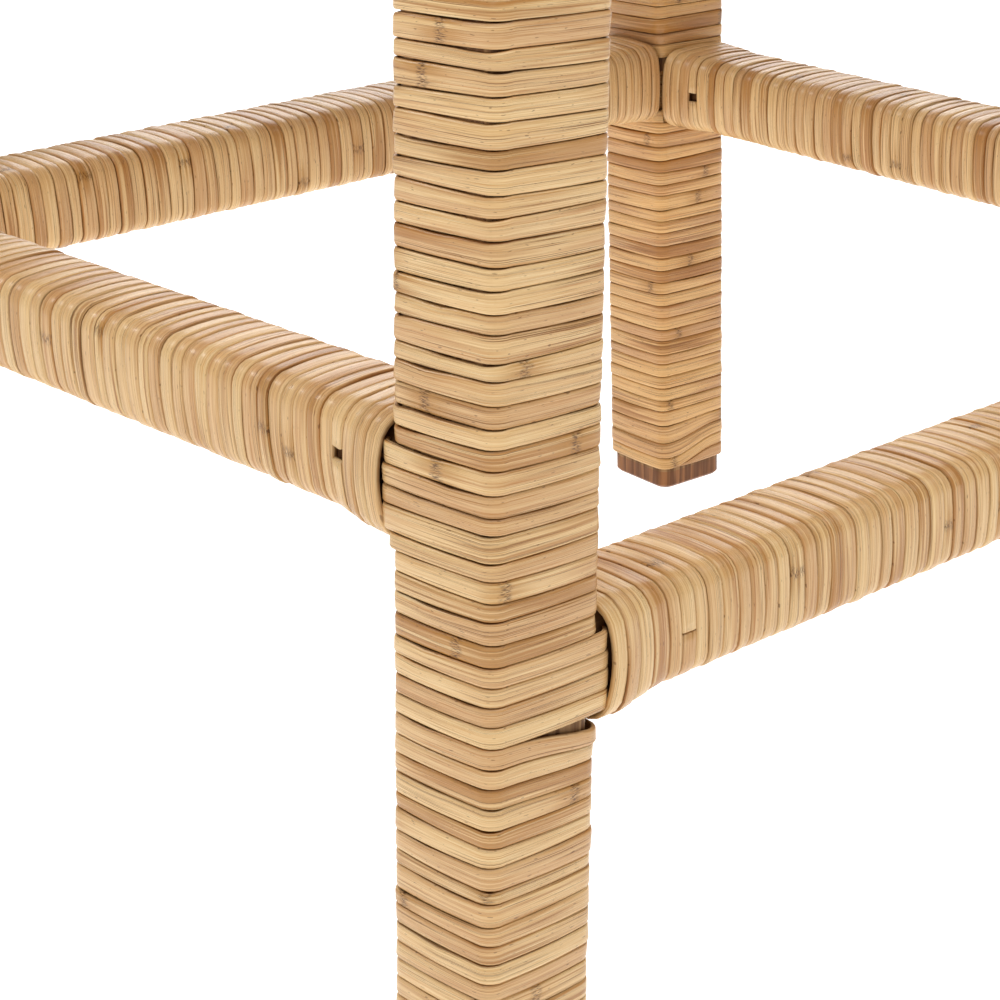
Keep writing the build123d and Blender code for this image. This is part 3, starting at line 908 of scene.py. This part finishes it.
front_left_peel = peel_material("Front left leg peel", 1.0)
bind_leg("front_left", 3.0, front_left_peel, open_turn=21.0, open_gap=0.0046, gaping=1.0)
bind_leg("front_right", 14.0, peel_material("Front right leg peel", 2.0))
bind_leg("rear_left", 25.0, peel_material("Rear left leg peel", 3.0))
bind_leg("rear_right", 36.0, peel_material("Rear right leg peel", 4.0, **DEEPER_ORANGE_TONES))
RAIL_JOINS = {"front": [(5.57, 0.005)], "left": [(3.07, 0.03)], "right": [(-3.95, 0.03)], "rear": []}
for number, side in enumerate(SIDES):
    peel = peel_material(f"{side.capitalize()} foot rail peel", 5.3 + number * 1.9)
    bind_rail(side, "stretcher", STRETCHER_HALF_DEPTH, 50.0 + 11 * number, peel, BOW, RAIL_JOINS[side])
    peel = peel_material(f"{side.capitalize()} seat rail peel", 9.0 + number)
    bind_rail(side, "seat_rail", SEAT_RAIL_HALF_DEPTH, 100.0 + 11 * number, peel, 0.0)
for number, leg in enumerate(LEGS):
    cap_leg(leg, peel_material(f"{leg.replace('_', ' ').capitalize()} cap peel", 15.0 + number, 0.3))
trim_peel = peel_material("Seat trim peel", 19.0, 0.3)
for side in SIDES:
    trim_seat(side, trim_peel)
weave_seat(peel_material("Seat weave fore and aft", 13.0, 0.4), peel_material("Seat weave across", 14.0, 0.4))

FINISHES = {
    "front_stretcher": cross_wood_in_shade,
    "rear_stretcher": cross_wood_in_shade,
    "front_seat_rail": cross_wood_in_shade,
    "rear_seat_rail": cross_wood_in_shade,
    "left_stretcher": fore_wood_in_shade,
    "right_stretcher": fore_wood_in_shade,
    "left_seat_rail": fore_wood_in_shade,
    "right_seat_rail": fore_wood_in_shade,
    "seat_board": board_wood,
    "trim_brads": brass,
}
for leg in LEGS:
    FINISHES[f"{leg}_leg"] = leg_wood
    FINISHES[f"{leg}_foot"] = foot_wood
    FINISHES[f"{leg}_corner_block"] = cross_wood_in_shade
for joint in ("stretcher", "seat_rail", "corner_block", "board", "leg_lag"):
    FINISHES[f"{joint}_screws"] = steel
for node, material in FINISHES.items():
    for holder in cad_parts[node].material_slots:
        holder.material = material


# ---- floor, light and camera --------------------------------------------------------------------
def pale_floor():
    mesh = bpy.data.meshes.new("floor")
    reach = 6.0
    corners = [(-reach, -reach, 0), (reach, -reach, 0), (reach, reach, 0), (-reach, reach, 0)]
    mesh.from_pydata(corners, [], [(0, 1, 2, 3)])
    floor = bpy.data.objects.new("floor", mesh)
    bpy.context.scene.collection.objects.link(floor)
    material, _, shader = new_material("Pale floor")
    shader.inputs["Base Color"].default_value = (0.38, 0.38, 0.38, 1.0)
    shader.inputs["Roughness"].default_value = 0.8
    shader.inputs["Emission Color"].default_value = (1.0, 1.0, 1.0, 1.0)
    shader.inputs["Emission Strength"].default_value = 1.15
    mesh.materials.append(material)


def area_light(name, place, aim, size, power):
    light = bpy.data.lights.new(name, "AREA")
    light.shape, light.size, light.energy = "SQUARE", size, power
    holder = bpy.data.objects.new(name, light)
    bpy.context.scene.collection.objects.link(holder)
    holder.location = place
    holder.visible_camera = False  # the lamps light the stool but are not seen
    holder.rotation_euler = (Vector(aim) - Vector(place)).to_track_quat("-Z", "Y").to_euler()


def studio():
    world = bpy.data.worlds.new("Studio")
    world.use_nodes = True
    world.node_tree.nodes["Background"].inputs["Color"].default_value = (1.0, 0.99, 0.975, 1.0)
    world.node_tree.nodes["Background"].inputs["Strength"].default_value = 0.20
    bpy.context.scene.world = world
    bpy.context.scene.view_settings.view_transform = "Standard"
    area_light("Key", (-1.15, -0.3, 2.4), (-0.2, 0, 0.2), 0.9, 15)
    area_light("Low left", (-1.9, -0.2, 1.3), (0, 0, 0.25), 0.8, 5)
    area_light("Fill", (0.1, -1.15, 2.4), (0, -0.2, 0.2), 1.2, 24)
    area_light("Overhead", (-0.1, 0.1, 2.3), (0, 0, 0.2), 0.9, 6)
    area_light("Far left strip light", (-0.9, 1.5, 1.6), (0, 0, 0.2), 0.4, 8)
    area_light("Rear", (1.1, 1.2, 0.95), (-0.1, -0.05, 0.2), 1.2, 12)
    area_light("Far right strip light", (1.4, -0.8, 1.7), (0, 0, 0.2), 0.4, 2)


def camera():
    """Looks down at the front left leg's joints from just outside that corner."""
    yaw, pitch, roll = 0.7128, 0.3857, 0.0129
    ahead = Vector((sin(yaw) * cos(pitch), cos(yaw) * cos(pitch), -sin(pitch)))
    level = Vector((cos(yaw), -sin(yaw), 0))
    down = ahead.cross(level)
    right = level * cos(roll) + down * sin(roll)
    up = level * sin(roll) - down * cos(roll)
    lens = bpy.data.cameras.new("Camera")
    lens.lens, lens.sensor_width, lens.clip_start = 87.38, 36.0, 0.02
    holder = bpy.data.objects.new("Camera", lens)
    bpy.context.scene.collection.objects.link(holder)
    turned = Matrix((right, up, -ahead)).transposed().to_4x4()
    holder.matrix_world = Matrix.Translation((-0.6188, -0.6630, 0.4706)) @ turned
    bpy.context.scene.camera = holder


pale_floor()
studio()
camera()
